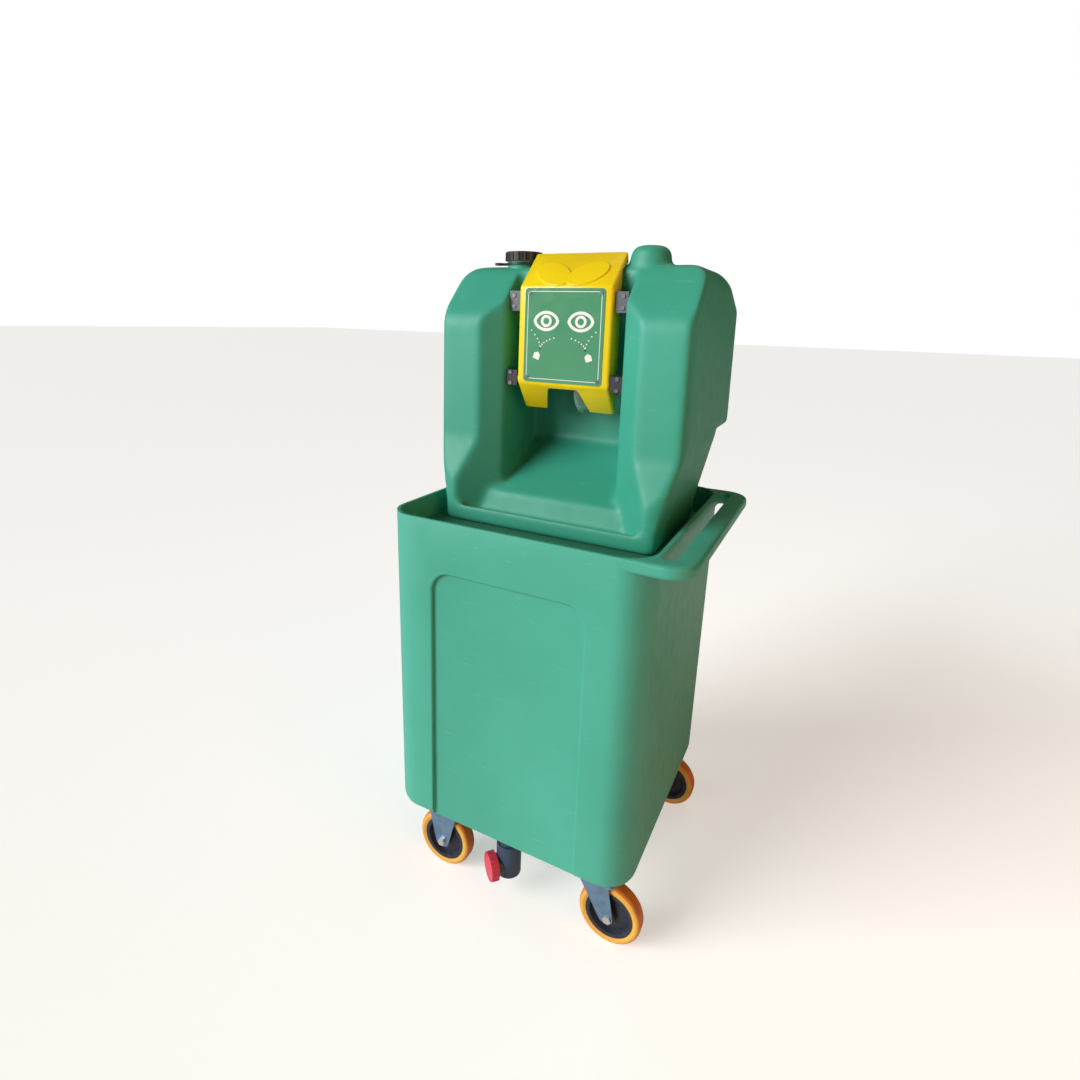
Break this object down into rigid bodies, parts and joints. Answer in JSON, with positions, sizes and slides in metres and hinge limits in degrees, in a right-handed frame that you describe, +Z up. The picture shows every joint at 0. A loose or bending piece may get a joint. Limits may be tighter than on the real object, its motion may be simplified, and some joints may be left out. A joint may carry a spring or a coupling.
{
  "type": "portable eyewash on waste-water cart",
  "caption": "Gravity-fed portable eyewash tank with a pull-down yellow arm, standing in a wheeled waste-water cart with a push handle and a capped drain.",
  "frame": {"origin": "on the ground under the middle of the whole object", "axes": "+X towards the push handle, +Y to the back of the tank, +Z up"},
  "size_m": [0.6076, 0.6576, 1.33],
  "materials": {
    "cart_green": "satin rotomoulded",
    "deck_green": "matte sheet",
    "tank_green": "satin rotomoulded",
    "black_plastic": "satin",
    "black_rubber": "matte",
    "arm_yellow": "gloss",
    "label_green": "gloss printed plate",
    "bright_steel": "zinc plated",
    "manifold_grey": "moulded",
    "nozzle_orange": "moulded",
    "hose_clear": "clear flexible",
    "strainer_white": "moulded",
    "drain_grey": "moulded",
    "drain_red": "moulded",
    "caster_zinc": "zinc plated",
    "tyre_orange": "polyurethane",
    "hub_navy": "moulded"
  },
  "bodies": {
    "cart": {"cart_body": "cart_green", "tank_deck": "deck_green", "drain_bulkhead": "drain_grey", "drain_washer": "black_rubber", "drain_nut": "drain_grey", "drain_elbow": "drain_grey", "caster_bolts": "bright_steel", "caster_nuts": "bright_steel", "front_left_plate": "caster_zinc", "front_left_fork": "caster_zinc", "front_left_axle": "bright_steel", "rear_left_plate": "caster_zinc", "rear_left_fork": "caster_zinc", "rear_left_axle": "bright_steel", "front_right_plate": "caster_zinc", "front_right_race": "caster_zinc", "front_right_kingpin": "caster_zinc", "rear_right_plate": "caster_zinc", "rear_right_race": "caster_zinc", "rear_right_kingpin": "caster_zinc"},
    "tank": {"tank_shell": "tank_green", "cap_tether": "black_plastic", "arm_pins": "bright_steel", "hinge_brackets": "black_plastic", "hinge_screws": "bright_steel", "left_catch": "black_plastic", "right_catch": "black_plastic", "catch_screws": "bright_steel", "tank_outlet": "manifold_grey", "outlet_nut": "manifold_grey", "basin_strainer": "strainer_white"},
    "arm": {"activation_arm": "arm_yellow", "arm_label": "label_green", "label_rivets": "bright_steel", "spray_manifold": "manifold_grey", "manifold_clip": "black_plastic", "left_nozzle": "nozzle_orange", "right_nozzle": "nozzle_orange", "hose_clamps": "bright_steel", "supply_hose": "hose_clear"},
    "fill_seal": {"fill_gasket": "black_rubber"},
    "fill_cap": {"fill_cap": "black_plastic"},
    "drain_seal": {"drain_gasket": "black_rubber"},
    "drain_cap": {"drain_cap": "drain_red"},
    "front_left_wheel": {"front_left_tyre": "tyre_orange", "front_left_hub": "hub_navy"},
    "front_right_swivel": {"front_right_fork": "caster_zinc", "front_right_axle": "bright_steel"},
    "front_right_wheel": {"front_right_tyre": "tyre_orange", "front_right_hub": "hub_navy"},
    "rear_left_wheel": {"rear_left_tyre": "tyre_orange", "rear_left_hub": "hub_navy"},
    "rear_right_swivel": {"rear_right_fork": "caster_zinc", "rear_right_axle": "bright_steel"},
    "rear_right_wheel": {"rear_right_tyre": "tyre_orange", "rear_right_hub": "hub_navy"}
  },
  "joints": [
    {"name": "tank_lift", "type": "slide", "parent": "cart", "child": "tank", "axis": [0, 0, 1], "range_m": [0, 0.06]},
    {"name": "arm_hinge", "type": "hinge", "parent": "tank", "child": "arm", "pos_m": [-0.03225, -0.09525, 1.066], "axis": [1, 0, 0], "range_deg": [0, 90], "deforming": ["supply_hose"]},
    {"name": "fill_seal_rise", "type": "slide", "parent": "tank", "child": "fill_seal", "axis": [0, 0, 1], "range_m": [0, 0.012]},
    {"name": "fill_cap_turn", "type": "hinge", "parent": "fill_seal", "child": "fill_cap", "pos_m": [-0.17225, -0.01325, 1.295], "axis": [0, 0, 1], "range_deg": [0, 1080]},
    {"name": "drain_seal_out", "type": "slide", "parent": "cart", "child": "drain_seal", "axis": [-0.6561, -0.7547, 0], "range_m": [0, 0.012]},
    {"name": "drain_cap_turn", "type": "hinge", "parent": "drain_seal", "child": "drain_cap", "pos_m": [-0.03825, -0.26125, 0.066], "axis": [-0.6561, -0.7547, 0], "range_deg": [0, 1080]},
    {"name": "front_left_roll", "type": "hinge", "parent": "cart", "child": "front_left_wheel", "pos_m": [-0.19225, -0.26025, 0.0625], "axis": [0, 1, 0], "continuous": true},
    {"name": "front_right_turn", "type": "hinge", "parent": "cart", "child": "front_right_swivel", "pos_m": [0.15275, -0.26025, 0.14], "axis": [0, 0, 1], "continuous": true},
    {"name": "front_right_roll", "type": "hinge", "parent": "front_right_swivel", "child": "front_right_wheel", "pos_m": [0.18875, -0.26025, 0.0625], "axis": [0, 1, 0], "continuous": true},
    {"name": "rear_left_roll", "type": "hinge", "parent": "cart", "child": "rear_left_wheel", "pos_m": [-0.19225, 0.16575, 0.0625], "axis": [0, 1, 0], "continuous": true},
    {"name": "rear_right_turn", "type": "hinge", "parent": "cart", "child": "rear_right_swivel", "pos_m": [0.15275, 0.16575, 0.14], "axis": [0, 0, 1], "continuous": true},
    {"name": "rear_right_roll", "type": "hinge", "parent": "rear_right_swivel", "child": "rear_right_wheel", "pos_m": [0.18875, 0.16575, 0.0625], "axis": [0, 1, 0], "continuous": true}
  ],
  "couplings": [
    {"joint": "fill_seal_rise", "follows": "fill_cap_turn", "m_per_rad": 0.00063662},
    {"joint": "drain_seal_out", "follows": "drain_cap_turn", "m_per_rad": 0.00063662}
  ]
}
